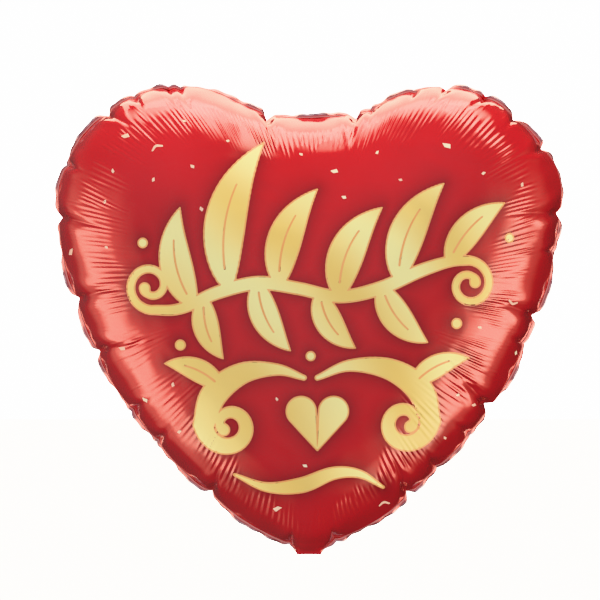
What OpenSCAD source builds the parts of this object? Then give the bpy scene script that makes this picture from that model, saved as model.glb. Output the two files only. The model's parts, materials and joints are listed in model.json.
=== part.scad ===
// Heart-shaped foil balloon, inflated, with its filling neck folded up behind it.
//
// The origin is the tip of the heart on the plane of the seam, where the neck leaves the
// balloon and a ribbon is tied. +X runs to the right across the front, +Y points out of the
// back and +Z points up. The outline is four tangent arcs a side: cleft, lobe, flank and tip.

/* [Heart outline] */
// Radius of each upper lobe
lobe_r = 95; // [90:1:100]
// Distance of each lobe's centre from the middle
lobe_x = 100; // [94:1:104]
// Radius of the cleft between the lobes
cleft_r = 125; // [110:1:140]
// Radius of the long flank on each side
flank_r = 322; // [310:1:340]
// Angle below the lobe's centre where the lobe turns into the flank
flank_start = 7.5; // [5:0.5:10]
// Radius of the bottom tip
tip_r = 25; // [22:1:30]

/* [Inflated panels] */
// Greatest height of each panel above the seam plane
half_depth = 78; // [70:1:86]
// Height of the middle of the panels, where they are fullest
belly_z = 205; // [190:1:220]
// Width of the flat heat-sealed margin outside the seam
seam_w = 6; // [4:0.5:8]
// Thickness that stands for the film
film_t = 0.4; // [0.3:0.05:0.6]
// How flat the middle of a panel stays on the way to the flanks and the tip
side_flatness = 2.6; // [2:0.1:3]
// How flat it stays on the way to the cleft
cleft_flatness = 2; // [2:0.1:3]
// How gently a panel meets the seam along the flanks and the tip
side_taper = 0.5; // [0.4:0.02:0.6]
// How gently it meets the seam at the cleft
cleft_taper = 0.72; // [0.5:0.02:0.8]

/* [Neck] */
// Width of the neck
neck_w = 26; // [24:1:30]
// Length of the neck
neck_l = 55; // [45:1:60]
// Width of the sealed edge along each side of the neck
neck_seal_w = 3; // [2:0.5:4]
// Angle of the folded neck from upright
neck_lean = 66; // [64:1:80]

/* [Valve] */
// Thickness that stands for one valve film
valve_t = 0.2; // [0.15:0.05:0.25]
// Length of the valve inside the balloon
valve_l = 110; // [80:5:140]
// Distance from the neck's open end to the valve's inlet
valve_setback = 12; // [8:1:20]

/* [Colours] */
// Colour of the foil panels
foil_colour = "#B5202A"; // ["#B5202A":red, "#C9A227":gold, "#B8BCC4":silver, "#C2437A":pink]
// Colour of the sealed margin
margin_colour = "#900A18"; // ["#900A18":dark red, "#8F7113":dark gold, "#7E828A":grey, "#8C2552":dark pink]
// Colour of the neck
neck_colour = "#A01824"; // ["#A01824":red, "#B8BCC4":silver]
// Colour of the valve films
valve_colour = "#D8D2C4"; // ["#D8D2C4":cloudy white, "#B9C4CC":clear blue]

/* [Hidden] */

// Points along each arc of one half of the outline
cleft_steps = 8;
lobe_steps = 24;
flank_steps = 16;
tip_steps = 6;
// Rings from the seam to the middle of a panel
rings = 12;
// Cosine of the angle to the cleft, seen from the middle, inside which a panel takes its shape
cleft_reach = 0.3;

// Centres of the arcs, measured from the height of the lobes' centres
cleft_dz = sqrt(pow(lobe_r + cleft_r, 2) - pow(lobe_x, 2));
flank_x = lobe_x + (lobe_r - flank_r)*cos(flank_start);
flank_dz = (flank_r - lobe_r)*sin(flank_start);
tip_dz = flank_dz - sqrt(pow(flank_r - tip_r, 2) - pow(flank_x, 2));
// Angles at which one arc turns into the next
cleft_end = atan2(-cleft_dz, lobe_x);
lobe_begin = atan2(cleft_dz, -lobe_x);
flank_end = atan2(tip_dz - flank_dz, -flank_x);
// Height of the lobes' centres above the tip
lobe_z = tip_r - tip_dz;

// The neck's root is a tab that runs a little below the tip
tab_drop = 1;
// The fold line lies just below the tab, and the neck starts a little way from it
fold_z = -tab_drop - 1;
fold_gap = 1.4;
neck_turn = 180 - neck_lean;
// The valve fits between the neck's sealed edges with this much room on each side, in a
// channel pressed into both films
valve_room = 1;
valve_w = neck_w - 2*neck_seal_w - 2*valve_room;
channel_w = valve_w + valve_room;
channel_h = 2*seam_w;
// How far a cut runs past what it cuts
over = 1;

function arc(cx, cz, r, from, to, steps) =
    [for (i = [0:steps - 1]) let (a = from + (to - from)*i/steps) [cx + r*cos(a), cz + r*sin(a)]];

// Right half of the outline from the cleft down to the tip, moved in by inset
function half_outline(inset) = concat(
    arc(0, lobe_z + cleft_dz, cleft_r + inset, -90, cleft_end, cleft_steps),
    arc(lobe_x, lobe_z, lobe_r - inset, lobe_begin, -flank_start, lobe_steps),
    arc(flank_x, lobe_z + flank_dz, flank_r - inset, -flank_start, flank_end, flank_steps),
    arc(0, tip_r, tip_r - inset, flank_end, -90, tip_steps),
    [[0, inset]]
);

function outline(inset) =
    let (half = half_outline(inset))
    concat(half, [for (i = [len(half) - 2:-1:1]) [-half[i].x, half[i].y]]);

function smooth_step(u) = let (v = max(0, min(1, u))) v*v*(3 - 2*v);

// How much the direction from the middle of the panel to p is that of the cleft, from 0 to 1
function cleft_share(p) =
    let (upward = (p.y - belly_z)/norm([p.x, p.y - belly_z]))
    smooth_step((upward - cleft_reach)/(1 - cleft_reach));

// Height of a panel of the given depth, at the share of the way from its middle to the seam
function dome(share, p, depth) =
    let (
        c = cleft_share(p),
        flatness = side_flatness + (cleft_flatness - side_flatness)*c,
        taper = side_taper + (cleft_taper - side_taper)*c
    )
    depth*pow(max(0, 1 - pow(share, flatness)), taper);

// Point of a ring: share of the way from the middle out to p, held in by wall
function ring_point(share, p, wall, y) =
    let (reach = norm([p.x, p.y - belly_z]), k = share*(1 - wall/reach))
    [k*p.x, y, belly_z + k*(p.y - belly_z)];

// Bands of triangles between ring a and ring b of n points each
function band(a, b, n) =
    [for (i = [0:n - 1], t = [0, 1]) let (j = (i + 1) % n)
        t == 0 ? [a*n + i, b*n + i, a*n + j] : [a*n + j, b*n + i, b*n + j]];

// Closed shell of one panel, bulging towards +Y from the seam plane
module panel_shell() {
    rim = outline(seam_w);
    n = len(rim);
    shares = [for (k = [0:rings - 1]) cos(90*k/rings)];
    outer_foot = [for (p = rim) ring_point(1, p, 0, 0)];
    outer = [for (s = shares, p = rim) ring_point(s, p, 0, film_t + dome(s, p, half_depth - film_t))];
    inner = [for (s = shares, p = rim) ring_point(s, p, film_t, dome(s, p, half_depth - film_t))];
    points = concat(outer_foot, outer, inner, [[0, half_depth, belly_z], [0, half_depth - film_t, belly_z]]);
    outer_pole = n*(2*rings + 1);
    inner_pole = outer_pole + 1;
    last_outer = rings;
    first_inner = rings + 1;
    last_inner = 2*rings;
    outer_faces = [for (k = [0:rings - 1]) each band(k, k + 1, n)];
    inner_faces = [for (k = [first_inner:last_inner - 1]) each band(k + 1, k, n)];
    foot_faces = band(first_inner, 0, n);
    outer_cap = [for (i = [0:n - 1]) [last_outer*n + i, outer_pole, last_outer*n + (i + 1) % n]];
    inner_cap = [for (i = [0:n - 1]) [last_inner*n + (i + 1) % n, inner_pole, last_inner*n + i]];
    polyhedron(points, concat(outer_faces, outer_cap, inner_faces, inner_cap, foot_faces));
}

// Half of the channel that the valve passes through at the tip, on the +Y side
module valve_channel() {
    translate([-channel_w/2, -over, -tab_drop - over])
        cube([channel_w, over + valve_t, over + tab_drop + channel_h]);
}

// One panel with the valve's channel pressed into its foot
module panel() {
    difference() {
        panel_shell();
        valve_channel();
    }
}

// A slab of the outline moved in by inset, standing on the seam plane towards +Y
module outline_slab(inset, thickness) {
    translate([0, thickness, 0]) rotate([90, 0, 0]) linear_extrude(thickness) polygon(outline(inset));
}

// One side's flat sealed margin, with the tab at the tip where the neck leaves it
module seam_margin() {
    difference() {
        union() {
            outline_slab(0, film_t);
            translate([-neck_w/2, 0, -tab_drop]) cube([neck_w, film_t, tab_drop + seam_w]);
        }
        translate([0, -over, 0]) outline_slab(seam_w, film_t + 2*over);
        valve_channel();
    }
}

// One film of the valve inside the balloon
module inner_valve_film() {
    translate([-valve_w/2, 0, -tab_drop]) cube([valve_w, valve_t, tab_drop + valve_l]);
}

// One film of the neck, hanging straight down from the fold line, on the +Y side
module neck_film() {
    translate([0, 0, -fold_gap - neck_l]) difference() {
        translate([-neck_w/2, 0, 0]) cube([neck_w, valve_t + film_t, neck_l]);
        translate([-channel_w/2, -over, -over]) cube([channel_w, over + valve_t, neck_l + 2*over]);
    }
}

// One film of the valve inside the neck, on the +Y side
module neck_valve_film() {
    inlet_z = -fold_gap - neck_l + valve_setback;
    translate([-valve_w/2, 0, inlet_z]) cube([valve_w, valve_t, neck_l - valve_setback]);
}

// Turns what hangs from the fold line up behind the balloon
module folded() {
    translate([0, 0, fold_z]) rotate([neck_turn, 0, 0]) children();
}

module front_panel() {
    color(foil_colour) mirror([0, 1, 0]) panel();
}

module back_panel() {
    color(foil_colour) panel();
}

module front_seam_margin() {
    color(margin_colour) mirror([0, 1, 0]) seam_margin();
}

module back_seam_margin() {
    color(margin_colour) seam_margin();
}

module valve_front_film() {
    color(valve_colour) mirror([0, 1, 0]) inner_valve_film();
}

module valve_back_film() {
    color(valve_colour) inner_valve_film();
}

module neck_front_film() {
    color(neck_colour) folded() mirror([0, 1, 0]) neck_film();
}

module neck_back_film() {
    color(neck_colour) folded() neck_film();
}

module neck_valve_front() {
    color(valve_colour) folded() mirror([0, 1, 0]) neck_valve_film();
}

module neck_valve_back() {
    color(valve_colour) folded() neck_valve_film();
}

front_panel();
back_panel();
front_seam_margin();
back_seam_margin();
valve_front_film();
valve_back_film();
neck_front_film();
neck_back_film();
neck_valve_front();
neck_valve_back();
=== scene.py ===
"""A heart-shaped foil balloon, full of gas, with its filling neck folded up behind the tip.

Two sheets of film, cut larger than the filled outline, are inflated by a cloth simulation with
their seam held on its puckered path. The result is resampled on rings that follow the seam, so
that the creases and fine puckers run square to it. The print is cut from stroke shapes and laid
on the front sheet.
"""
import json
import math

import bmesh
import bpy
import numpy as np
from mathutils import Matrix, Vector
from mathutils.bvhtree import BVHTree
from mathutils.geometry import delaunay_2d_cdt


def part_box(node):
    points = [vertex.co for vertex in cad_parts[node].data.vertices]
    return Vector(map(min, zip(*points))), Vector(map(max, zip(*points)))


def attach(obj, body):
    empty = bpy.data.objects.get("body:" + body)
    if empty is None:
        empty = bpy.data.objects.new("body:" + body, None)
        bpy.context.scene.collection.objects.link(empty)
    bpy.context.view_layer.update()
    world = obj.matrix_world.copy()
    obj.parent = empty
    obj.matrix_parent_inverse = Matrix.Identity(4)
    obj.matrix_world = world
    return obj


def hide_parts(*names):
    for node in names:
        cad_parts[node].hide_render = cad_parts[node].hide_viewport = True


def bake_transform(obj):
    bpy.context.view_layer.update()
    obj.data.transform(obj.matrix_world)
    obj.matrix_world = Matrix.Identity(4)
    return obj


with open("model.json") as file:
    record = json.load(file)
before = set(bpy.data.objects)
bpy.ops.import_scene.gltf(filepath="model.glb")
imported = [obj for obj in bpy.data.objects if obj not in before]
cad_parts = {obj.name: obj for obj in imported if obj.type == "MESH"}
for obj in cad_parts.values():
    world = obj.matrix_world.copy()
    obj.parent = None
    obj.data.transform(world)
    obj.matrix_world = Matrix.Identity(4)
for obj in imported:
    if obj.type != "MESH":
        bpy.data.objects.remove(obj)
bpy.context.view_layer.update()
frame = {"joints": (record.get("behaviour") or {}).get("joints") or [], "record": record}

# One millimetre of the CAD design, from the width of its sealed margin
MARGIN_LOW, MARGIN_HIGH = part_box("front_seam_margin")
DESIGN_WIDTH = 389.85
MM = (MARGIN_HIGH[0] - MARGIN_LOW[0])/DESIGN_WIDTH
HALF_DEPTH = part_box("back_panel")[1][1]

# The outline's arcs, as in the CAD
LOBE_R = 95*MM
LOBE_X = 100*MM
CLEFT_R = 125*MM
FLANK_R = 322*MM
TIP_R = 25*MM
FLANK_START = math.radians(7.5)
BELLY_Z = 205*MM

# The seam lies this far inside the outline, less at the tip where the neck takes over from the
# sealed rim, which stands out from the seam
SEAM_INSET = 4.0*MM
TIP_DROP = 3.2*MM
RIM_W = 3.8*MM

# The film is cut this much larger than the filled outline
CUT_RATIO = 1.17

# Thickness given to single films, a few times the real one
FILM_T = 0.1*MM

# Seeds of the random draws
PANEL_SEED, START_SEED, RIM_SEED, NECK_SEED, FLECK_SEED = 11, 5, 21, 31, 41

# Points round the seam, and the rings from the seam (share 1) to the middle (share 0):
# each run ends at a share and has a step and a stride round the ring
STATIONS = 1408
RING_RUNS = [(0.60, 0.010, 1), (0.30, 0.015, 2), (0.14, 0.020, 4), (0.06, 0.020, 16), (0.02, 0.020, 32)]

# Creases clockwise from the middle of the cleft: share of the way round the seam, how far the
# seam is notched, how deep the fold is and how far it reaches into the panel, in millimetres
CREASES = [
    (0.030, 3.2, 5.0, 40), (0.041, 1.4, 2.5, 20), (0.072, 1.2, 2.0, 14), (0.093, 1.8, 3.5, 26),
    (0.119, 1.8, 3.0, 22), (0.143, 2.2, 3.5, 20), (0.170, 2.0, 3.5, 30), (0.214, 2.0, 4.5, 52),
    (0.239, 1.0, 2.0, 14), (0.283, 2.2, 4.5, 60), (0.302, 0.8, 2.0, 14), (0.349, 4.2, 5.0, 56),
    (0.371, 0.8, 2.0, 16), (0.401, 1.4, 2.5, 18), (0.426, 2.4, 4.5, 36), (0.482, 1.0, 2.4, 12),
    (0.513, 1.2, 2.6, 13), (0.574, 1.6, 3.8, 28), (0.622, 1.0, 2.5, 20), (0.648, 0.8, 2.2, 24),
    (0.692, 1.3, 4.2, 56), (0.729, 1.3, 4.0, 58), (0.783, 1.8, 4.0, 52), (0.818, 1.8, 3.0, 18),
    (0.861, 2.0, 4.0, 30), (0.882, 1.6, 3.0, 16), (0.905, 1.4, 2.6, 22), (0.913, 1.6, 3.0, 26),
    (0.973, 3.4, 5.0, 34),
]
# How far the seam bulges out between creases, as a share of their distance, how far it sways to
# either side, how wide a notch is and how wide the neck's root
BULGE = 0.048
SWAY = 1.6*MM
NOTCH_W = 5*MM
ROOT_W = 17*MM

# Long puckers come in bunches, and short ones lie between them
BUNCHES = 46
SHORT_PUCKERS = 170

# Where the outline isn't as even as its arcs: share of the way round the seam, spread as a share,
# and how far it bulges (or is drawn in, if negative) in millimetres
UNEVEN = [
    (0.0, 0.035, -2.2), (0.055, 0.02, -1.5), (0.145, 0.025, -1.8), (0.19, 0.02, 1.5), (0.36, 0.04, 1.8),
    (0.44, 0.03, 1.6), (0.67, 0.03, 0.8), (0.85, 0.025, -2.0), (0.945, 0.02, -1.8),
]


# ---- outline

def arc(cx, cz, radius, start, end, count):
    a = np.linspace(start, end, count, endpoint=False)
    return np.c_[cx + radius*np.cos(a), cz + radius*np.sin(a)]


def outline(inset, count):
    """Closed outline, clockwise from the middle of the cleft, moved in by inset, in equal steps."""
    cleft_dz = math.sqrt((LOBE_R + CLEFT_R)**2 - LOBE_X**2)
    flank_x = LOBE_X + (LOBE_R - FLANK_R)*math.cos(FLANK_START)
    flank_dz = (FLANK_R - LOBE_R)*math.sin(FLANK_START)
    tip_dz = flank_dz - math.sqrt((FLANK_R - TIP_R)**2 - flank_x**2)
    lobe_z = TIP_R - tip_dz
    down = -math.pi/2
    flank_end = math.atan2(tip_dz - flank_dz, -flank_x)
    half = np.vstack([
        arc(0, lobe_z + cleft_dz, CLEFT_R + inset, down, math.atan2(-cleft_dz, LOBE_X), 60),
        arc(LOBE_X, lobe_z, LOBE_R - inset, math.atan2(cleft_dz, -LOBE_X), -FLANK_START, 180),
        arc(flank_x, lobe_z + flank_dz, FLANK_R - inset, -FLANK_START, flank_end, 160),
        arc(0, TIP_R, TIP_R - inset, flank_end, down, 30),
        [[0, inset]],
    ])
    return resampled(np.vstack([half, (half*[-1, 1])[-2::-1]]), count)


def distances(path):
    """Distance along the path to each of its points."""
    return np.r_[0, np.cumsum(np.linalg.norm(np.diff(path, axis=0), axis=1))]


def resampled(path, count):
    """The closed path, whose last point repeats its first, as count points in equal steps."""
    run = distances(path)
    at = np.linspace(0, run[-1], count, endpoint=False)
    return np.stack([np.interp(at, run, column) for column in path.T], axis=1)


def path_length(path):
    """Length of the path, without the step that would close it."""
    return np.linalg.norm(np.diff(path, axis=0), axis=1).sum()


def outward(path):
    """Unit normals of a closed clockwise path in the plane, pointing out."""
    along = np.roll(path, -1, axis=0) - np.roll(path, 1, axis=0)
    along /= np.linalg.norm(along, axis=1)[:, None]
    return np.c_[-along[:, 1], along[:, 0]]


def smooth(u):
    u = np.clip(u, 0, 1)
    return u*u*(3 - 2*u)


# ---- seam

def around(share, centre):
    """Signed share of the way round from centre to share, the short way."""
    return (share - centre + 0.5) % 1 - 0.5


def seam_path(count):
    """The seam in space: it bulges out between creases, is drawn in at each one and sways to
    either side of its plane."""
    base = outline(SEAM_INSET, count)
    length = path_length(base)
    share = np.arange(count)/count
    out = np.zeros(count)
    sway = np.zeros(count)
    for i, (start, *_) in enumerate(CREASES):
        span = (CREASES[(i + 1) % len(CREASES)][0] - start) % 1
        u = ((share - start) % 1)/span
        between = u < 1
        hump = np.sqrt(np.clip(4*u*(1 - u), 0, 1))*between
        out += BULGE*span*length*hump
        sway += (SWAY if i % 2 else -SWAY)*np.sin(np.pi*u)*between
    for start, notch, *_ in CREASES:
        near = np.abs(around(share, start))*length/NOTCH_W
        out -= notch*MM*np.clip(1 - near, 0, 1)**1.3
    for place, spread, bulge in UNEVEN:
        out += bulge*MM*np.exp(-(around(share, place)/spread)**2)
    root = np.exp(-(around(share, 0.5)*length/ROOT_W)**2)
    out += TIP_DROP*root
    sway *= 1 - root
    flat = base + outward(base)*out[:, None]
    return np.c_[flat[:, 0], sway, flat[:, 1]]


# ---- inflation

def inside(points, boundary):
    """Whether each point lies inside the closed boundary."""
    x, z = points.T
    odd = np.zeros(len(points), bool)
    for (ax, az), (bx, bz) in zip(boundary, np.roll(boundary, 1, axis=0)):
        if az != bz:
            odd ^= ((az > z) != (bz > z)) & (x < (bx - ax)*(z - az)/(bz - az) + ax)
    return odd


def edge_distance(points, boundary):
    """Distance of each point from the closed boundary."""
    nearest = np.full(len(points), 1e9)
    for a, b in zip(boundary, np.roll(boundary, -1, axis=0)):
        ab = b - a
        t = np.clip((points - a) @ ab/(ab @ ab), 0, 1)
        nearest = np.minimum(nearest, np.linalg.norm(points - a - t[:, None]*ab, axis=1))
    return nearest


def triangulated(points, edges, inner_only, tolerance):
    """Points and triangles in the plane that join the points and keep the edges."""
    vectors = [Vector(p) for p in points]
    made, _, faces, *_ = delaunay_2d_cdt(vectors, edges, [], int(inner_only), tolerance)
    return np.array([tuple(p) for p in made]), np.array([tuple(f) for f in faces])


def cross(a, b):
    return a[:, 0]*b[:, 1] - a[:, 1]*b[:, 0]


def anticlockwise(points, faces):
    """The triangles, each with its corners in anticlockwise order."""
    a, b, c = points[faces].transpose(1, 0, 2)
    return np.where((cross(b - a, c - a) > 0)[:, None], faces, faces[:, ::-1])


def lattice(boundary, spacing):
    """Points and triangles that fill the boundary. Its own points come first."""
    low, high = boundary.min(0), boundary.max(0)
    xs = np.arange(math.ceil(low[0]/spacing), high[0]/spacing)*spacing
    zs = np.arange(math.ceil(low[1]/spacing), high[1]/spacing)*spacing
    grid = np.array([(x, z) for z in zs for x in xs])
    grid = grid[inside(grid, boundary)]
    grid = grid[edge_distance(grid, boundary) > 0.55*spacing]
    count = len(boundary)
    edges = [(i, (i + 1) % count) for i in range(count)]
    made, faces = triangulated(np.vstack([boundary, grid])/MM, edges, True, 1e-6)
    made *= MM
    return made, anticlockwise(made, faces)


def new_mesh(name, points, faces):
    mesh = bpy.data.meshes.new(name)
    mesh.from_pydata([tuple(p) for p in points], [], [tuple(int(i) for i in f) for f in faces])
    mesh.update()
    return mesh


def new_object(name, data):
    """An object in the scene. Meshes are shaded smooth."""
    if isinstance(data, bpy.types.Mesh):
        data.shade_smooth()
    obj = bpy.data.objects.new(name, data)
    bpy.context.scene.collection.objects.link(obj)
    return obj


def coordinates(mesh):
    co = np.empty(len(mesh.vertices)*3, np.float32)
    mesh.vertices.foreach_get("co", co)
    return co.reshape(-1, 3).astype(float)


def inflated(points, faces, pinned):
    """Front and back sheets after inflation, each with the lattice's points. The first pinned
    points are the seam, which both share. They start as uneven domes, so that the film buckles."""
    seam = seam_path(pinned)
    count = len(points)
    distance = edge_distance(points, points[:pinned])
    swell = np.sqrt(np.clip(1 - (1 - distance/distance.max())**2, 0, 1))
    jitter = np.random.default_rng(START_SEED).normal(0, 0.4*MM, count)*(distance > 0)
    front = np.c_[points[:, 0], -0.95*HALF_DEPTH*swell + jitter, points[:, 1]]
    back = front*[1, -1, 1]
    front[:pinned] = back[:pinned] = seam
    back_of = np.r_[np.arange(pinned), np.arange(pinned, count) + count - pinned]
    both = np.vstack([front, back[pinned:]])
    size = 10  # the solver works best on an object a few metres across
    mesh = new_mesh("film", both*size, np.vstack([faces, back_of[faces][:, ::-1]]))
    film = new_object("film", mesh)
    cut = points*CUT_RATIO*size
    cut = np.c_[cut[:, 0], np.zeros(count), cut[:, 1]]
    film.shape_key_add(name="Basis")
    rest = film.shape_key_add(name="cut")
    rest.data.foreach_set("co", np.vstack([cut, cut[pinned:]]).ravel())
    film.vertex_groups.new(name="seam").add(list(range(pinned)), 1, "REPLACE")
    cloth = film.modifiers.new("cloth", "CLOTH")
    use = cloth.settings
    use.vertex_group_mass = "seam"
    use.rest_shape_key = rest
    use.quality = 8
    use.mass = 0.3
    use.air_damping = 1
    use.tension_stiffness = use.compression_stiffness = use.shear_stiffness = 200
    use.tension_damping = use.compression_damping = use.shear_damping = 5
    use.bending_model = "ANGULAR"
    use.bending_stiffness = 0.05
    use.bending_damping = 0.5
    use.use_pressure = True
    use.uniform_pressure_force = 1
    use.effector_weights.gravity = 0
    frames = 25
    cloth.point_cache.frame_start = 1
    cloth.point_cache.frame_end = frames
    scene = bpy.context.scene
    for number in range(1, frames + 1):
        scene.frame_set(number)
    result = film.evaluated_get(bpy.context.evaluated_depsgraph_get())
    co = coordinates(result.data)/size
    bpy.data.objects.remove(film)
    bpy.data.meshes.remove(mesh)
    scene.frame_set(1)
    return co[:count], co[back_of]


def relaxed(co, faces, pinned, rounds):
    """Takes the finest ripples out of a sheet without shrinking it."""
    shrink, grow = 0.5, -0.52
    pairs = np.unique(np.sort(np.vstack([faces[:, [0, 1]], faces[:, [1, 2]], faces[:, [2, 0]]])), axis=0)
    near = np.bincount(pairs.ravel(), minlength=len(co))[:, None]
    for i in range(2*rounds):
        total = np.zeros_like(co)
        np.add.at(total, pairs[:, 0], co[pairs[:, 1]])
        np.add.at(total, pairs[:, 1], co[pairs[:, 0]])
        move = (total/near - co)*(shrink if i % 2 == 0 else grow)
        move[:pinned] = 0
        co = co + move
    return co


def refined(co, faces):
    """Points and triangles of the sheet after two subdivisions, with joined triangles."""
    obj = new_object("sheet", new_mesh("sheet", co, faces))
    obj.modifiers.new("smooth", "SUBSURF").levels = 2
    fine = bpy.data.meshes.new_from_object(obj.evaluated_get(bpy.context.evaluated_depsgraph_get()))
    fine.calc_loop_triangles()
    triangles = np.empty(len(fine.loop_triangles)*3, np.int32)
    fine.loop_triangles.foreach_get("vertices", triangles)
    points = coordinates(fine)
    bpy.data.objects.remove(obj)
    bpy.data.meshes.remove(fine)
    return points, triangles.reshape(-1, 3)


def quads(points, faces):
    """The lattice's triangles joined in pairs where they make a good quad."""
    mesh = new_mesh("pairs", np.c_[points[:, 0], np.zeros(len(points)), points[:, 1]], faces)
    bm = bmesh.new()
    bm.from_mesh(mesh)
    bmesh.ops.join_triangles(
        bm, faces=bm.faces, angle_face_threshold=3.1, angle_shape_threshold=0.6)
    joined = [tuple(v.index for v in f.verts) for f in bm.faces]
    bm.free()
    bpy.data.meshes.remove(mesh)
    return joined


class Sheet:
    """An inflated sheet, which turns points of the flat cut into points in space."""

    def __init__(self, flat, joined, co):
        flat_fine, triangles = refined(np.c_[flat[:, 0], np.zeros(len(flat)), flat[:, 1]], joined)
        self.flat = flat_fine[:, [0, 2]]
        self.co = refined(co, joined)[0]
        self.triangles = triangles
        self.tree = BVHTree.FromPolygons(flat_fine.tolist(), triangles.tolist())

    def __call__(self, points):
        found = [self.tree.find_nearest((x, 0, z))[2] for x, z in points]
        corner = self.triangles[found]
        a, b, c = self.flat[corner].transpose(1, 0, 2)
        ab, ac, ap = b - a, c - a, points - a
        v = cross(ap, ac)/cross(ab, ac)
        w = cross(ab, ap)/cross(ab, ac)
        weight = np.c_[1 - v - w, v, w]
        return (self.co[corner]*weight[:, :, None]).sum(1)


# ---- rings

def ring_shares():
    """Each ring's share of the way from the middle to the seam, and its stride round the ring."""
    shares, strides = [1.0], [1]
    for end, step, stride in RING_RUNS:
        while shares[-1] > end + 1e-6:
            shares.append(max(end, shares[-1] - step))
            strides.append(stride)
    return np.array(shares), strides


def grid_normals(grid, side):
    """Outward unit normals of a grid of rings; side is -1 for the front and 1 for the back."""
    along = np.roll(grid, -1, axis=1) - np.roll(grid, 1, axis=1)
    across = np.gradient(grid, axis=0)
    normal = np.cross(along, across)
    normal /= np.linalg.norm(normal, axis=2)[:, :, None] + 1e-12
    middle = normal[len(grid)//2, :, 1].mean()
    return normal if middle*side > 0 else -normal


def evened(grid, shares, length):
    """Smooths each ring along its length, so that ripples not square to the seam fade out."""
    waves = np.fft.rfft(grid, axis=1)
    number = np.arange(waves.shape[1])[None, :, None]
    mean_reach = 150
    depth = (1 - shares)*mean_reach*MM
    width = (1.5*MM + 4.5*MM*smooth(depth/(25*MM)))/(length*np.maximum(shares, 0.15))
    return np.fft.irfft(waves*np.exp(-2*(np.pi*number*width[:, None, None])**2), n=grid.shape[1], axis=1)


def crease_relief(share, depth, length, rng):
    """How far the creases draw the film in, by share of the way round and depth from the seam.
    Each is a valley between two shoulders, and narrows and fades away from the seam."""
    relief = np.zeros_like(depth)
    for start, _, fold, reach in CREASES:
        reach = reach*MM*rng.uniform(0.9, 1.1)
        lean = rng.uniform(-0.25, 0.25)
        across = around(share, start)*length + lean*depth
        left = np.clip(1 - depth/reach, 0, 1)
        width = (1.1 + 4.5*left**2)*MM
        valley = -np.exp(-np.abs(across)/width)
        shoulder = 0.45*np.exp(-((np.abs(across) - 2.2*width)/(1.2*width))**2)
        relief += 0.55*fold*MM*left**1.2*(valley + shoulder)
    return relief


def pucker(relief, share, depth, length, at, start, reach, width, height, lean):
    """Adds one straight pucker, square to the seam but for its lean."""
    column = np.abs(around(share[0], at))*length < 14*MM
    across = around(share[:, column], at)*length + lean*depth[:, column]
    along = np.clip((depth[:, column] - start)/reach, 0, 1)
    fade = np.sin(np.pi*along**0.8)**1.3
    relief[:, column] += height*fade*np.cos(np.pi*across/width)*np.exp(-(across/(1.3*width))**2)


def pucker_relief(share, depth, length, rng):
    """Fine straight puckers: long ones in bunches, longest at the sides, and short ones."""
    relief = np.zeros_like(depth)
    for bunch in range(BUNCHES):
        middle = (bunch + rng.uniform(-0.35, 0.35))/BUNCHES
        count = rng.integers(4, 10)
        pitch = rng.uniform(3.6, 5.2)*MM
        from_side = abs(abs(middle - 0.5) - 0.27)
        side = smooth((0.22 - from_side)/0.08)
        start = (rng.uniform(7, 12) + 9*side)*MM
        reach = (rng.uniform(24, 38) + 26*side)*MM
        lean = rng.normal(0, 0.06)
        height = rng.uniform(0.12, 0.42)*MM
        for k in range(count):
            place = (k - (count - 1)/2 + rng.normal(0, 0.1))*pitch
            size = 1 - 0.5*abs(2*k/(count - 1) - 1)
            pucker(
                relief, share, depth, length, (middle + place/length) % 1,
                start + rng.uniform(-2, 4)*MM, reach*size*rng.uniform(0.8, 1.1),
                0.5*pitch*rng.uniform(0.9, 1.05), height*rng.uniform(0.6, 1.1), lean)
    for _ in range(SHORT_PUCKERS):
        pucker(
            relief, share, depth, length, rng.uniform(), rng.uniform(3, 9)*MM,
            rng.uniform(8, 18)*MM, rng.uniform(0.9, 1.6)*MM, rng.uniform(0.06, 0.2)*MM,
            rng.normal(0, 0.1))
    return relief


def panel_grid(sheet, side):
    """The finished panel as rings of points."""
    rng = np.random.default_rng(PANEL_SEED + side)
    base = outline(SEAM_INSET, STATIONS)
    length = path_length(base)
    shares, _ = ring_shares()
    middle = np.array([0, BELLY_Z])
    flat = middle + shares[:, None, None]*(base - middle)
    grid = sheet(flat.reshape(-1, 2)).reshape(len(shares), STATIONS, 3)
    grid = evened(grid, shares, length)
    reach = np.linalg.norm(base - middle, axis=1)
    depth = (1 - shares)[:, None]*reach*CUT_RATIO
    seam = seam_path(STATIONS)
    grid += (seam - grid[0])*(1 - smooth(depth/(14*MM)))[:, :, None]
    share = np.broadcast_to(np.arange(STATIONS)/STATIONS, depth.shape)
    relief = crease_relief(share, depth, length, rng) + pucker_relief(share, depth, length, rng)
    relief *= smooth(depth/(3*MM))
    grid += grid_normals(grid, side)*relief[:, :, None]
    grid[0] = seam
    return grid


def ring_mesh(name, grid, side):
    """A mesh from rings, whose stride round the ring grows towards the middle."""
    _, strides = ring_shares()
    points, rows = [], []
    for ring, stride in zip(grid, strides):
        rows.append((len(points), STATIONS//stride))
        points.extend(ring[::stride])
    faces = []
    for (outer, n), (inner, m) in zip(rows, rows[1:]):
        ratio = n//m
        for i in range(m):
            a, b = inner + i, inner + (i + 1) % m
            rim = [outer + (ratio*i + k) % n for k in range(ratio + 1)]
            half = (ratio + 1)//2
            if ratio == 1:
                faces.append((rim[0], rim[1], b, a))
            else:
                faces.extend((rim[k], rim[k + 1], a) for k in range(half))
                faces.append((rim[half], b, a))
                faces.extend((rim[k], rim[k + 1], b) for k in range(half, ratio))
    first, last = rows[-1]
    points.append(np.mean(grid[-1], axis=0))
    faces.extend((first + i, first + (i + 1) % last, len(points) - 1) for i in range(last))
    if side > 0:
        faces = [f[::-1] for f in faces]
    return new_object(name, new_mesh(name, points, faces))


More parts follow.
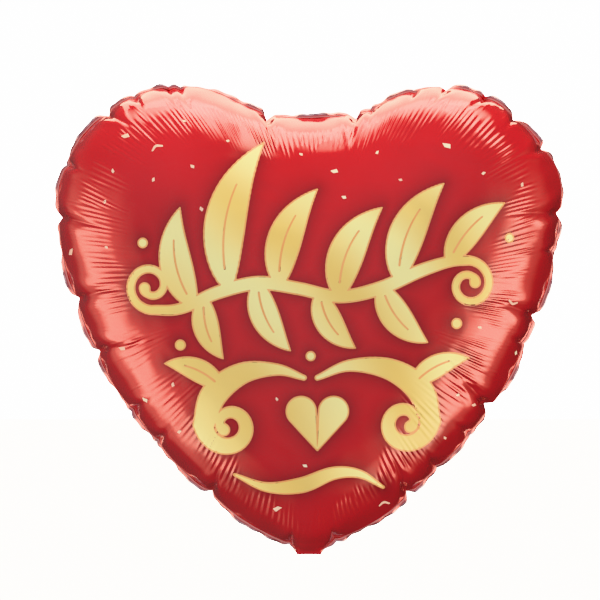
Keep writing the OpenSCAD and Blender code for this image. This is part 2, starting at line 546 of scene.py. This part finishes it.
# ---- panels

def make_panels():
    """The front and back sheets, inflated."""
    spacing = 3.9*MM
    base = outline(SEAM_INSET, 300)
    points, faces = lattice(base, spacing)
    pinned = len(base)
    joined = quads(points, faces)
    made = []
    for name, side, co in zip(("front_foil", "back_foil"), (-1, 1), inflated(points, faces, pinned)):
        sheet = Sheet(points, joined, relaxed(co, faces, pinned, 3))
        made.append(ring_mesh(name, panel_grid(sheet, side), side))
    return made


# ---- sealed rim

def film_strip(name, rows, closed=False, flip=False):
    """An object of thick film from rows of points, which may close into rings."""
    n = len(rows[0])
    faces = []
    for k in range(len(rows) - 1):
        for i in range(n if closed else n - 1):
            a, b = k*n + i, k*n + (i + 1) % n
            quad = (a, b, b + n, a + n)
            faces.append(quad[::-1] if flip else quad)
    obj = new_object(name, new_mesh(name, np.vstack(rows), faces))
    thick = obj.modifiers.new("film", "SOLIDIFY")
    thick.thickness = FILM_T
    thick.offset = 0
    return obj


def make_rim(name, side):
    """One film of the flat sealed rim, which tilts and ripples as the seam is drawn in."""
    rng = np.random.default_rng(RIM_SEED)
    base = outline(SEAM_INSET, STATIONS)
    seam = seam_path(STATIONS)
    out = outward(base)
    share = np.arange(STATIONS)/STATIONS
    turns = 2*np.pi*share[:, None]*np.array([7, 19, 31, 83]) + rng.uniform(0, 6.3, 4)
    tilt = np.radians(38) + np.sin(turns) @ np.radians([16, 20, 14, 8])
    width = 1 + np.sin(1.37*turns) @ np.array([0.05, 0.06, 0.05, 0.03])
    length = path_length(base)
    for start, _, fold, _ in CREASES:
        near = np.exp(-(around(share, start)*length/(4*MM))**2)
        tilt += near*np.radians(14*fold)*(1 if fold > 3 else -1)
        width -= 0.05*fold*near
    root = np.exp(-(around(share, 0.5)*length/(15*MM))**4)
    tilt *= 1 - root
    width *= 1 - 0.92*root
    across = np.linspace(0, 1, 6)
    rows = []
    for u in across:
        angle = tilt*(0.6 + 0.5*u)
        reach = (u*RIM_W*width)[:, None]
        plane = out*np.cos(angle)[:, None]*reach
        row = seam + np.c_[plane[:, 0], np.sin(angle)*reach[:, 0], plane[:, 1]]
        rows.append(row + [0, side*0.09*MM, 0])
    obj = film_strip(name, rows, closed=True, flip=side < 0)
    edge = obj.data.attributes.new("cut_edge", "FLOAT", "POINT")
    edge.data.foreach_set("value", np.repeat(across, STATIONS))
    return obj


# ---- neck and valve

def surface_of(obj):
    """A tree to cast rays on an object's mesh with."""
    mesh = obj.data
    return BVHTree.FromPolygons([v.co for v in mesh.vertices], [p.vertices for p in mesh.polygons])


FOLD = np.array(frame["joints"][0]["pos_m"])
MOUTH = next(m for m in frame["record"]["mounts"] if m["name"] == "inflation_mouth")
NECK_WAY = np.array(MOUTH["axis"])
NECK_L = np.linalg.norm(np.array(MOUTH["pos_m"]) - FOLD)
NECK_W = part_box("neck_front_film")[1][0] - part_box("neck_front_film")[0][0]
VALVE_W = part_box("valve_front_film")[1][0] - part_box("valve_front_film")[0][0]
VALVE_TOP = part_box("valve_front_film")[1][2]
# The films bend within this distance of the fold, and gather near it by a share of their width
BEND = 1.2*MM
GATHER = 0.28
GATHER_L = 9*MM
# Above the fold the front film leans forward by this much for its rise, in pleats, and lies this
# far off the panel until its top is tucked in
LEAN = 0.42
PLEAT_H = 0.3*MM
PLEAT_W = 5.2*MM
STAND_OFF = 0.35*MM
TUCK = 0.9*MM


def neck_path(top, reach):
    """Centre line of a film that comes down from height top, turns at the fold and runs along
    the neck for reach: points and the distance of each from the fold, negative above it."""
    above = FOLD + [[0, 0, h] for h in np.linspace(top - FOLD[2], BEND, max(4, round(top/(2*MM))))]
    turn = np.linspace(0, 1, 6)[1:-1, None]
    start, end = FOLD + [0, 0, BEND], FOLD + NECK_WAY*BEND
    corner = (1 - turn)**2*start + 2*turn*(1 - turn)*FOLD + turn**2*end
    along = FOLD + np.linspace(BEND, reach, round(reach/(1.6*MM)))[:, None]*NECK_WAY
    points = np.vstack([above, corner, along])
    run = distances(points)
    return points, run - run[len(above) + 1]


def make_neck_film(name, side, width, top, reach, gap, over=None):
    """A strip of film across the fold; gap(x, run) is its distance from the middle of the neck.
    Above the fold it lies over the panel whose surface is given, and sinks into it at its top.
    All strips ripple alike, so that none shows through another."""
    rng = np.random.default_rng(NECK_SEED)
    path, run = neck_path(top, reach)
    along = np.gradient(path, axis=0)
    along /= np.linalg.norm(along, axis=1)[:, None]
    normal = np.c_[np.zeros(len(path)), -along[:, 2], along[:, 1]]
    columns = 25
    xs = np.linspace(-width/2, width/2, columns)
    phase = rng.uniform(0, 6.3, 3)
    rows = []
    for p, n, r in zip(path, normal, run):
        loose = smooth(r/(14*MM))
        ripple = np.sin(xs/(3.1*MM) + phase[0] + r/(30*MM))
        ripple += 0.6*np.sin(xs/(1.7*MM) + phase[1] - r/(22*MM))
        sag = 1.1*np.sin(r/(17*MM) + phase[2])
        lift = side*gap(xs, r) + loose*(0.16*ripple + sag)*MM*(1 if side else 0)
        gathered = 1 - GATHER*math.exp(-(r/GATHER_L)**2)
        row = np.c_[gathered*xs, np.full(columns, p[1]), np.full(columns, p[2])] + lift[:, None]*n
        if over and r < 0:
            sink = TUCK*smooth((p[2]/top - 0.6)/0.4) - STAND_OFF
            rise = p[2] - FOLD[2]
            row[:, 1] -= LEAN*rise + PLEAT_H*smooth(rise/(4*MM))*np.cos(2*np.pi*xs/PLEAT_W)
            for point in row:
                hit = over.ray_cast(Vector((point[0], -1, point[2])), Vector((0, 1, 0)))[0]
                point[1] = hit.y + sink if hit else point[1]
        rows.append(row)
    obj = film_strip(name, rows)
    obj.modifiers.new("edges", "EDGE_SPLIT").split_angle = math.radians(60)
    return obj


def neck_gap(xs, run):
    """Half the gap between the neck's films: closed along its sealed edges and at the fold."""
    middle = smooth((NECK_W/2 - 3*MM - np.abs(xs))/(4*MM))
    mouth = smooth((run - NECK_L + 16*MM)/(16*MM))
    return 0.18*MM + middle*smooth(run/(12*MM))*(0.9 + 1.6*mouth)*MM


def valve_gap(xs, run):
    return 0.07*MM + 0*xs


def make_neck(front):
    """Both films of the neck and of the valve, each bent across the fold: foil, valve, foil, valve."""
    made = []
    panel = surface_of(front)
    inlet = NECK_L - 12*MM
    for side, word in ((-1, "front"), (1, "back")):
        top, over = (10*MM, panel) if side < 0 else (4*MM, None)
        film = make_neck_film(f"neck_{word}_foil", side, NECK_W, top, NECK_L, neck_gap, over)
        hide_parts(f"neck_{word}_film")
        valve = make_neck_film(f"valve_{word}", side, VALVE_W, VALVE_TOP, inlet, valve_gap)
        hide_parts(f"valve_{word}_film", f"neck_valve_{word}")
        made += [film, valve]
    for obj in made:
        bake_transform(obj)
    return made


# ---- print

# Brush strokes as points (x, z, half width) in millimetres from the tip of the heart
VINE = [
    (-118, 186, 3.2), (-96, 187, 3.8), (-68, 199, 4.6), (-38, 206, 4.8), (-8, 202, 4.4),
    (22, 196, 4.4), (52, 202, 4.8), (82, 215, 4.6), (104, 222, 3.8), (119, 223, 3.2),
]
LEFT_SCROLL = [(-4, 136, 1.6), (-24, 142, 4.0), (-50, 139, 7.6), (-71, 123, 9.6), (-79, 100, 8.0)]
RIGHT_SCROLL = [(6, 136, 1.6), (30, 145, 4.0), (60, 142, 7.6), (83, 126, 9.6), (91, 102, 8.0)]
SWASH = [(-56, 62, 0.8), (-32, 53, 3.4), (-6, 55, 5.6), (18, 64, 4.6), (38, 63, 2.8), (56, 52, 0.8)]
# Curls as (centre x, centre z, radius, start angle, sweep, first and last half width)
CURLS = [
    (-118, 204, 18, -90, -430, 3.2, 2.4), (119, 205, 18, 90, -430, 3.2, 2.4),
    (-60, 100, 19, 180, 400, 8.0, 3.0), (72, 102, 19, 0, -400, 8.0, 3.0),
]
# Leaves as (base x, base z, tip x, tip z, half width, bend)
LEAVES = [
    (-86, 190, -96, 262, 11.0, -9), (-60, 202, -34, 312, 14.0, -14), (-22, 205, 6, 276, 11.5, -9),
    (22, 197, 54, 262, 12.0, -9), (66, 209, 100, 280, 12.0, -9), (104, 222, 146, 266, 9.5, -6),
    (-78, 194, -64, 150, 8.5, 5), (-38, 206, -14, 156, 9.5, 6), (8, 198, 34, 158, 9.0, 6),
    (54, 203, 88, 162, 10.0, 6), (-66, 129, -108, 146, 7.5, 5), (78, 131, 120, 150, 7.5, -5),
]
# The small heart between the scrolls, as two round-headed drops, and dots as (x, z, radius)
DROPS = [(6, 82, -6, 111, 11.0), (6, 82, 18, 111, 11.0)]
DOTS = [(-96, 160, 3.6), (110, 176, 3.6), (1, 152, 3.2), (-124, 236, 3.4), (150, 240, 3.2)]

# Flecks of confetti as (x, z), and the kind of those that aren't dots
FLECKS = [
    (-138, 317, "chip"), (-114, 307, "curl"), (-94, 328), (-147, 290), (-116, 283), (-87, 293),
    (-153, 267), (-80, 261), (-61, 313), (-152, 233), (-181, 230, "chip"), (-6, 303),
    (19, 290, "chip"), (26, 270), (51, 304), (68, 283), (103, 309, "chip"), (130, 288), (160, 280),
    (-15, 263), (152, 236, "curl"), (112, 198), (128, 173), (154, 192, "curl"), (-141, 157, "chip"),
    (-102, 130), (-124, 118, "chip"), (-78, 166), (-98, 94), (24, 118), (-3, 70), (-24, 36, "chip"),
    (57, 38, "curl"), (-24, 120), (112, 122), (125, 114), (103, 89), (158, 153),
]
# Corners of a chip and a dot from the middle, and the room that flecks leave round the ornament
CHIP = [(3.4, 0.6), (0.6, 1.9), (-3.0, 0.4), (-1.2, -2.0)]
DOT = [(2.1, 0.3), (0.2, 1.3), (-1.8, 0.1), (-0.3, -1.3)]
FLECK_ROOM = 4
# How far the shade printed round the ornament spreads
SHADE_W = 6.5


def spline(points, steps):
    """Smooth path through rows of numbers, with steps points between each pair."""
    p = np.array(points, float)
    p = np.vstack([2*p[0] - p[1], p, 2*p[-1] - p[-2]])
    t = np.arange(steps)[:, None]/steps
    path = []
    for a, b, c, d in zip(p, p[1:], p[2:], p[3:]):
        path.append(0.5*(2*b + (c - a)*t + (2*a - 5*b + 4*c - d)*t**2 + (3*b - a - 3*c + d)*t**3))
    return np.vstack([*path, p[-2:-1]])


def curl(x, z, radius, start, sweep, first, last):
    """A stroke that winds inwards from a circle and ends in a ball."""
    t = np.linspace(0, 1, 40)
    angle = np.radians(start + sweep*t)
    reach = radius*(1 - 0.72*t)
    half = first + (last - first)*t**0.6 + 1.5*smooth((t - 0.86)/0.14)
    return np.c_[x + reach*np.cos(angle), z + reach*np.sin(angle), half]


def leaf(base_x, base_z, tip_x, tip_z, width, bend):
    """Centre line and half widths of a leaf that swings out sideways by bend, and its vein."""
    t = np.linspace(0, 1, 26)[:, None]
    base, tip = np.array([base_x, base_z]), np.array([tip_x, tip_z])
    way = (tip - base)/np.linalg.norm(tip - base)
    knee = (base + tip)/2 + 2*bend*np.array([way[1], -way[0]])
    line = (1 - t)**2*base + 2*t*(1 - t)*knee + t**2*tip
    half = width*np.sin(np.pi*t**0.8)**0.9 + 1.6*(1 - t)
    vein = 0.05 + 0.3*(1 - t[3:18])
    return np.hstack([line, half]), np.hstack([line[3:18], vein])


def drop(base_x, base_z, head_x, head_z, width):
    """Centre line and half widths of a drop with a round head."""
    t = np.linspace(0, 1, 16)[:, None]
    line = np.array([base_x, base_z]) + t*np.array([head_x - base_x, head_z - base_z])
    return np.hstack([line, 0.4 + (width - 0.4)*t])


class Field:
    """Signed distance to a set of strokes on a grid, in millimetres, negative inside them."""
    FAR = 26

    def __init__(self, low, high, pitch):
        self.low, self.pitch = np.array(low, float), pitch
        self.xs = np.arange(low[0], high[0], pitch)
        self.zs = np.arange(low[1], high[1], pitch)
        self.value = np.full((len(self.zs), len(self.xs)), float(self.FAR))

    def window(self, low, high):
        """The values between two corners of the plane, and their x and z."""
        c0, c1 = np.searchsorted(self.xs, [low[0], high[0]])
        r0, r1 = np.searchsorted(self.zs, [low[1], high[1]])
        return self.value[r0:r1, c0:c1], self.xs[None, c0:c1], self.zs[r0:r1, None]

    def stroke(self, path):
        """Adds a stroke along rows of x, z and half width."""
        path = np.vstack([path, path[-1:] + [1e-3, 0, 0]])
        for a, b in zip(path, path[1:]):
            pad = max(a[2], b[2]) + self.FAR
            part, xs, zs = self.window(np.minimum(a, b) - pad, np.maximum(a, b) + pad)
            x, z = xs - a[0], zs - a[1]
            dx, dz = b[0] - a[0], b[1] - a[1]
            t = np.clip((x*dx + z*dz)/(dx*dx + dz*dz), 0, 1)
            away = np.hypot(x - t*dx, z - t*dz) - a[2] - t*(b[2] - a[2])
            np.minimum(part, away, out=part)

    def patch(self, corners):
        """Adds a convex patch with corners in anticlockwise order."""
        part, xs, zs = self.window(corners.min(0) - self.FAR, corners.max(0) + self.FAR)
        away = np.full(part.shape, -1e9)
        for a, b in zip(corners, np.roll(corners, -1, axis=0)):
            out = np.array([b[1] - a[1], a[0] - b[0]])/np.linalg.norm(b - a)
            away = np.maximum(away, (xs - a[0])*out[0] + (zs - a[1])*out[1])
        np.minimum(part, away, out=part)

    def at(self, points):
        """The field's value at points, in millimetres."""
        c, r = ((points - self.low)/self.pitch).T
        c = np.clip(c, 0, len(self.xs) - 1.001)
        r = np.clip(r, 0, len(self.zs) - 1.001)
        i, j = r.astype(int), c.astype(int)
        u, v = r - i, c - j
        f = self.value
        return ((1 - u)*((1 - v)*f[i, j] + v*f[i, j + 1]) + u*((1 - v)*f[i + 1, j] + v*f[i + 1, j + 1]))

    def contour(self, level):
        """Points on the line where the field is level, and the edges between them."""
        f = self.value - level
        found, points, edges = {}, [], []

        def crossing(p, q):
            key = (min(p, q), max(p, q))
            if key not in found:
                share = f[p]/(f[p] - f[q])
                row, column = np.array(p) + share*(np.array(q) - p)
                found[key] = len(points)
                points.append(self.low + self.pitch*np.array([column, row]))
            return found[key]

        within = (f < 0).astype(int)
        corners_in = within[:-1, :-1] + within[1:, :-1] + within[:-1, 1:] + within[1:, 1:]
        for r, c in np.argwhere((corners_in > 0) & (corners_in < 4)).tolist():
            ring = [(r, c), (r, c + 1), (r + 1, c + 1), (r + 1, c)]
            cuts = [crossing(p, q) for p, q in zip(ring, ring[1:] + ring[:1]) if within[p] != within[q]]
            edges.extend(zip(cuts[::2], cuts[1::2]))
        return np.array(points), edges


def ornament_field():
    """The distance to the whole ornament, with the leaves' veins cut out of it."""
    field, veins = (Field((-170, 30), (175, 345), 0.6) for _ in range(2))
    for points in (VINE, LEFT_SCROLL, RIGHT_SCROLL, SWASH):
        field.stroke(spline(points, 8))
    for shape in CURLS:
        field.stroke(curl(*shape))
    for shape in LEAVES:
        blade, vein = leaf(*shape)
        field.stroke(blade)
        veins.stroke(vein)
    for shape in DROPS:
        field.stroke(drop(*shape))
    for x, z, radius in DOTS:
        field.stroke(np.array([(x, z, radius)]))
    field.value = np.maximum(field.value, -veins.value)
    return field


def confetti_field(ornament):
    """Irregular chips, curls and dots, left out where they would touch the ornament."""
    rng = np.random.default_rng(FLECK_SEED)
    field = Field((-195, 20), (195, 350), 0.45)
    for x, z, *kind in FLECKS:
        turn = rng.uniform(0, math.pi)
        way = np.array([math.cos(turn), math.sin(turn)])
        side = np.array([-way[1], way[0]])
        size = rng.uniform(0.85, 1.15)
        if ornament.at(np.array([[x, z]]))[0] < FLECK_ROOM:
            continue
        place = np.array([x, z])
        if "curl" in kind:
            bend = [np.r_[place + way*4*size, 0.7], np.r_[place + side*1.6*size, 0.95],
                    np.r_[place - way*3.4*size - side*0.6, 0.6]]
            field.stroke(spline(bend, 5))
        else:
            corners = CHIP if kind else DOT
            field.patch(place + size*np.array([a*way + b*side for a, b in corners]))
    return field


def laid_on(surface, name, field, level, pitch, lift, band=-math.inf):
    """A thin printed layer: the part of the field between band and level, on the front sheet."""
    points, edges = field.contour(level)
    xs = np.arange(field.xs[0], field.xs[-1], pitch)
    zs = np.arange(field.zs[0], field.zs[-1], pitch)
    filling = np.array([(x, z) for z in zs for x in xs])
    value = field.at(filling)
    filling = filling[(value < level - 0.45*pitch) & (value > band)]
    made, faces = triangulated(np.vstack([points, filling]), edges, False, 1e-5)
    middle = field.at(made[faces].mean(1))
    faces = faces[(middle < level) & (middle > band)]
    used = np.unique(faces)
    index = np.full(len(made), -1)
    index[used] = np.arange(len(used))
    placed = []
    for x, z in made[used]*MM:
        hit, normal, _, _ = surface.ray_cast(Vector((x, -1, z)), Vector((0, 1, 0)))
        placed.append(hit + normal*(lift if normal.y < 0 else -lift))
    return new_object(name, new_mesh(name, placed, anticlockwise(made[used], index[faces])))


def make_print(front):
    """The gold ornament with its thin peach edge, and the confetti. Also marks the front sheet
    with how near the ornament each point is, for the shade printed round it."""
    mesh = front.data
    surface = surface_of(front)
    ornament = ornament_field()
    confetti = confetti_field(ornament)
    layers = [
        laid_on(surface, "ornament_edge", ornament, level=0.6, pitch=1.4, lift=0.09*MM, band=-1.4),
        laid_on(surface, "gold_ornament", ornament, level=-0.5, pitch=1.3, lift=0.15*MM),
        laid_on(surface, "confetti", confetti, level=0.0, pitch=1.3, lift=0.12*MM),
    ]
    near = ornament.at(coordinates(mesh)[:, [0, 2]]/MM)
    shade = mesh.attributes.new("print_shade", "FLOAT", "POINT")
    faded = np.exp(-np.clip(near, 0, None)/SHADE_W) - math.exp(-Field.FAR/SHADE_W)
    shade.data.foreach_set("value", faded)
    return layers


# ---- materials

class Tree:
    """Short ways to add to a node tree."""

    def __init__(self, tree):
        self.tree = tree

    def new(self, kind, feeds=None, **values):
        """A node with these values, and with its inputs fed by name or number."""
        node = self.tree.nodes.new(kind)
        for key, value in values.items():
            setattr(node, key, value)
        for key, value in (feeds or {}).items():
            self.feed(node.inputs[key], value)
        return node

    def feed(self, socket, value):
        """Gives a socket a number, a vector, a colour or the output of another node."""
        if isinstance(value, (int, float)):
            socket.default_value = value
        elif isinstance(value, tuple):
            socket.default_value = (*value, 1)[:len(socket.default_value)]
        else:
            self.tree.links.new(value, socket)


class Nodes(Tree):
    """Short ways to make a material's nodes."""

    def __init__(self, name):
        self.material = bpy.data.materials.new(name)
        self.material.use_nodes = True
        super().__init__(self.material.node_tree)
        self.shader = self.tree.nodes["Principled BSDF"]
        self.place = self.new("ShaderNodeTexCoord").outputs["Object"]

    def noise(self, scale, detail=2, roughness=0.5, stretch=None):
        """Noise of the given number of features a metre."""
        place = self.place
        if stretch:
            place = self.new("ShaderNodeMapping", {"Scale": stretch, "Vector": place}).outputs["Vector"]
        feeds = {"Scale": scale, "Detail": detail, "Roughness": roughness, "Vector": place}
        return self.new("ShaderNodeTexNoise", feeds).outputs["Fac"]

    def ramp(self, value, stops):
        node = self.new("ShaderNodeValToRGB", {"Fac": value})
        ramp = node.color_ramp
        while len(ramp.elements) < len(stops):
            ramp.elements.new(0.5)
        for element, (place, colour) in zip(ramp.elements, stops):
            element.position = place
            element.color = (*colour, 1) if len(colour) == 3 else (colour[0],)*3 + (1,)
        return node.outputs["Color"]

    def mottle(self, scale, detail, low, high):
        """Patches that change softly between two colours, or two grey values."""
        return self.ramp(self.noise(scale, detail), [(0.3, low), (0.7, high)])

    def mix(self, share, a, b):
        return self.new("ShaderNodeMix", {0: share, 6: a, 7: b}, data_type="RGBA").outputs[2]

    def attribute(self, name):
        return self.new("ShaderNodeAttribute", attribute_name=name).outputs["Fac"]

    def bump(self, *layers):
        """Bump of layers (height, distance in metres, strength), the first one deepest."""
        normal = None
        for height, distance, strength in layers:
            feeds = {"Height": height, "Distance": distance, "Strength": strength}
            if normal:
                feeds["Normal"] = normal
            normal = self.new("ShaderNodeBump", feeds).outputs["Normal"]
        self.shade("Normal", normal)

    def shade(self, name, value):
        """Feeds one of the shader's sockets from a node."""
        self.feed(self.shader.inputs[name], value)

    def set(self, **values):
        for key, value in values.items():
            self.shader.inputs[key.replace("_", " ").title().replace("Ior", "IOR")].default_value = value


def foil_material(name, bright, dark):
    """Red film under a clear coat that mirrors the lights, with faint rolled streaks, fine
    crinkles and the darker shade printed round the ornament."""
    n = Nodes(name)
    colour = n.ramp(n.noise(9, 3), [(0.3, dark), (0.75, bright)])
    streaks = n.noise(60, 3, 0.6, stretch=(0.25, 1, 1.6))
    colour = n.mix(n.ramp(streaks, [(0.35, (0.0,)), (0.8, (0.25,))]), colour, bright)
    n.shade("Base Color", n.mix(n.attribute("print_shade"), colour, (0.30, 0.010, 0.018)))
    n.shade("Roughness", n.ramp(n.noise(45, 4, 0.6), [(0.3, (0.09,)), (0.75, (0.16,))]))
    n.set(metallic=0.2, specular_tint=(1.0, 0.2, 0.2, 1))
    n.set(coat_weight=1.0, coat_ior=1.7, coat_roughness=0.06)
    n.bump((n.noise(150, 4, 0.55), 0.0006, 0.12), (n.noise(900, 3, 0.6), 0.00012, 0.10))
    return n.material


def rim_material():
    """The sealed rim: darker red, a painted pale pink highlight on the half next to the seam, and grey,
    bare film at the cut edge.
    """
    n = Nodes("sealed_rim")
    red = n.mottle(60, 3, (0.34, 0.008, 0.016), (0.60, 0.02, 0.04))
    silver = n.ramp(n.noise(170, 3), [(0.35, (0.34, 0.20, 0.24)), (0.65, (0.80, 0.62, 0.66))])
    across = n.attribute("cut_edge")
    cut = n.ramp(across, [(0.45, (0.0,)), (0.7, (1.0,))])
    # Painted highlight: pale pink colour on the half of the rim next to the seam, in place of the light
    # it mirrors there
    seam_highlight = n.ramp(across, [(0.25, (0.8,)), (0.5, (0.1,))])
    n.shade("Base Color", n.mix(seam_highlight, n.mix(cut, red, silver), (0.90, 0.40, 0.38)))
    n.shade("Roughness", n.mottle(300, 3, (0.18,), (0.36,)))
    n.set(metallic=0.9, coat_weight=0.6, coat_roughness=0.1)
    n.bump((n.noise(350, 3), 0.0005, 0.35), (n.noise(1500, 2), 0.00015, 0.2))
    return n.material


def gold_material():
    """Gold print with soft slanting bands of paler and deeper gold."""
    n = Nodes("gold_print")
    feeds = {"Scale": 4.6, "Distortion": 3.2, "Detail": 1, "Detail Scale": 0.8, "Vector": n.place}
    wave = n.new("ShaderNodeTexWave", feeds, wave_type="BANDS", bands_direction="DIAGONAL")
    share = n.mix(0.45, wave.outputs["Color"], n.noise(11))
    deep, middle, pale = (0.92, 0.68, 0.22), (1.0, 0.83, 0.34), (1.0, 0.96, 0.48)
    n.shade("Base Color", n.ramp(share, [(0.15, deep), (0.45, middle), (0.8, pale)]))
    n.shade("Roughness", n.mottle(80, 3, (0.34,), (0.46,)))
    n.set(metallic=0.05, coat_weight=0.25, coat_roughness=0.15)
    n.bump((n.noise(1200, 2), 0.0001, 0.12))
    return n.material


def edge_material():
    """Peach line round the ornament."""
    n = Nodes("ornament_edge")
    n.shade("Base Color", n.mottle(50, 2, (0.92, 0.44, 0.18), (1.0, 0.54, 0.24)))
    n.set(metallic=0.1, roughness=0.4, coat_weight=0.25)
    return n.material


def confetti_material():
    """Pale pink to cream ink."""
    n = Nodes("confetti_print")
    pink, cream = (1.0, 0.66, 0.54), (1.0, 0.92, 0.74)
    n.shade("Base Color", n.ramp(n.noise(25, 1), [(0.4, pink), (0.6, cream)]))
    n.shade("Roughness", n.mottle(400, 2, (0.3,), (0.42,)))
    n.set(coat_weight=0.3)
    return n.material


def valve_material():
    """Thin cloudy plastic."""
    n = Nodes("valve_film")
    n.shade("Base Color", n.mottle(40, 3, (0.66, 0.64, 0.58), (0.86, 0.84, 0.78)))
    n.shade("Roughness", n.mottle(200, 3, (0.25,), (0.45,)))
    n.set(alpha=0.6)
    n.bump((n.noise(500, 3), 0.0003, 0.3))
    return n.material


def paint(material, *objects):
    for obj in objects:
        obj.data.materials.append(material)


# ---- light, floor and camera

CENTRE = (0, 0, 180*MM)
WARM = (1.0, 0.90, 0.62)
# Soft lights at the sides and overhead, by direction from the balloon in degrees: azimuths from the
# camera, positive to the right, at which the light starts, is full, fades and ends, the same for
# elevations, and its radiance. An elevation beyond 90 means that it reaches the zenith.
GLOWS = [
    ((-104, -92, -80, -64), (-58, -30, -14, 8), 3.8),
    ((-130, -102, -66, -40), (-66, -40, -5, 32), 0.7),
    ((55, 71, 84, 97), (-58, -32, -16, 2), 5.6),
    ((34, 60, 86, 120), (-60, -36, -5, 36), 0.7),
    ((25, 62, 130, 170), (57, 71, 95, 100), 8.5),
    ((-175, -160, -100, -60), (57, 71, 95, 100), 6.0),
    ((-200, -190, 190, 200), (74, 85, 95, 100), 4.5),
]


def add_glow(tree, direction, below, azimuths, elevations, radiance):
    """Adds a soft-edged light to the world's colour below, and returns the new colour."""
    def math_node(operation, *values):
        return tree.new("ShaderNodeMath", dict(enumerate(values)), operation=operation).outputs[0]

    def step(value, start, end):
        feeds = {"Value": value, "From Min": math.radians(start), "From Max": math.radians(end)}
        return tree.new("ShaderNodeMapRange", feeds, interpolation_type="SMOOTHSTEP").outputs["Result"]

    x, y, z = tree.new("ShaderNodeSeparateXYZ", {0: direction}).outputs
    azimuth = math_node("ARCTAN2", x, math_node("MULTIPLY", y, -1))
    elevation = math_node("ARCSINE", z)
    share = radiance
    for angle, (start, full, last, end) in ((azimuth, azimuths), (elevation, elevations)):
        share = math_node("MULTIPLY", share, step(angle, start, full))
        share = math_node("MULTIPLY", share, step(angle, end, last))
    warm = tree.new("ShaderNodeVectorMath", {0: WARM, "Scale": share}, operation="SCALE")
    total = tree.new("ShaderNodeVectorMath", {0: below, 1: warm.outputs[0]}, operation="ADD")
    return total.outputs[0]


def studio_world():
    """A room that is pale on the camera's side and dark red behind the balloon, with the soft
    lights in it. The camera itself sees a white surround."""
    world = bpy.data.worlds.new("studio")
    bpy.context.scene.world = world
    world.use_nodes = True
    tree = Tree(world.node_tree)
    room, out = (world.node_tree.nodes[name] for name in ("Background", "World Output"))
    direction = tree.new("ShaderNodeTexCoord").outputs["Generated"]
    way = (-0.15, -0.95, 0.10)
    towards = tree.new("ShaderNodeVectorMath", {0: direction, 1: way}, operation="DOT_PRODUCT")
    share = tree.new("ShaderNodeMapRange", {"From Min": -1, "Value": towards.outputs["Value"]})
    ramp = tree.new("ShaderNodeValToRGB", {"Fac": share.outputs["Result"]})
    behind, before = ramp.color_ramp.elements
    behind.color = (0.15, 0.05, 0.05, 1)
    before.color = (0.80, 0.80, 0.80, 1)
    lit = ramp.outputs["Color"]
    for glow in GLOWS:
        lit = add_glow(tree, direction, lit, *glow)
    tree.feed(room.inputs["Color"], lit)
    white = tree.new("ShaderNodeBackground", {"Strength": 12}).outputs["Background"]
    seen = tree.new("ShaderNodeLightPath").outputs["Is Camera Ray"]
    mix = tree.new("ShaderNodeMixShader", {0: seen, 1: room.outputs["Background"], 2: white})
    tree.feed(out.inputs["Surface"], mix.outputs["Shader"])


def make_floor():
    """A plain pale floor, well below the balloon, which floats."""
    half, z = 9, -0.3
    corners = [(-half, -half, z), (half, -half, z), (half, half, z), (-half, half, z)]
    floor = new_object("floor", new_mesh("floor", corners, [(0, 1, 2, 3)]))
    n = Nodes("floor")
    n.set(base_color=(0.8, 0.8, 0.8, 1), roughness=0.9)
    n.set(emission_color=(1, 1, 1, 1), emission_strength=6)
    paint(n.material, floor)
    floor.visible_glossy = False
    floor.visible_diffuse = False


def make_camera():
    """Straight on, a little left of and below the middle, far enough off to flatten the view."""
    data = bpy.data.cameras.new("camera")
    data.lens = 160
    camera = new_object("camera", data)
    view_width = 460.6*MM
    camera.location = (-6.9*MM, -view_width*data.lens/data.sensor_width, 193.5*MM)
    camera.rotation_euler = (math.pi/2, 0, 0)
    bpy.context.scene.camera = camera


def light_studio():
    """A softbox above and behind the balloon, which the camera doesn't see, and the world."""
    place, size, radiance = (0, 0.62, 1.2), (1.1, 1.2), 4.8
    light = bpy.data.lights.new("top_softbox", "AREA")
    light.shape = "RECTANGLE"
    light.color = WARM
    light.size, light.size_y = size
    light.energy = radiance*size[0]*size[1]*math.pi
    obj = new_object("top_softbox", light)
    obj.location = place
    obj.rotation_euler = (Vector(CENTRE) - Vector(place)).to_track_quat("-Z", "Y").to_euler()
    obj.visible_camera = False
    studio_world()
    bpy.context.scene.view_settings.view_transform = "Khronos PBR Neutral"


# ---- assembly

def main():
    front, back = make_panels()
    front_rim, back_rim = make_rim("front_rim", -1), make_rim("back_rim", 1)
    edge, gold, confetti = make_print(front)
    neck = make_neck(front)
    foil = foil_material("red_foil", (0.72, 0.019, 0.030), (0.60, 0.013, 0.022))
    paint(foil, front, back, *neck[::2])
    paint(rim_material(), front_rim, back_rim)
    paint(valve_material(), *neck[1::2])
    paint(gold_material(), gold)
    paint(edge_material(), edge)
    paint(confetti_material(), confetti)
    for obj, slot, *nodes in (
            (front, "red_foil", "front_panel"), (back, "red_foil", "back_panel"),
            (front_rim, "sealed_rim", "front_seam_margin"),
            (back_rim, "sealed_rim", "back_seam_margin"),
            (edge, "gold_print"), (gold, "gold_print"), (confetti, "confetti_print")):
        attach(obj, "root")
        if nodes:
            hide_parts(*nodes)


main()
make_floor()
light_studio()
make_camera()
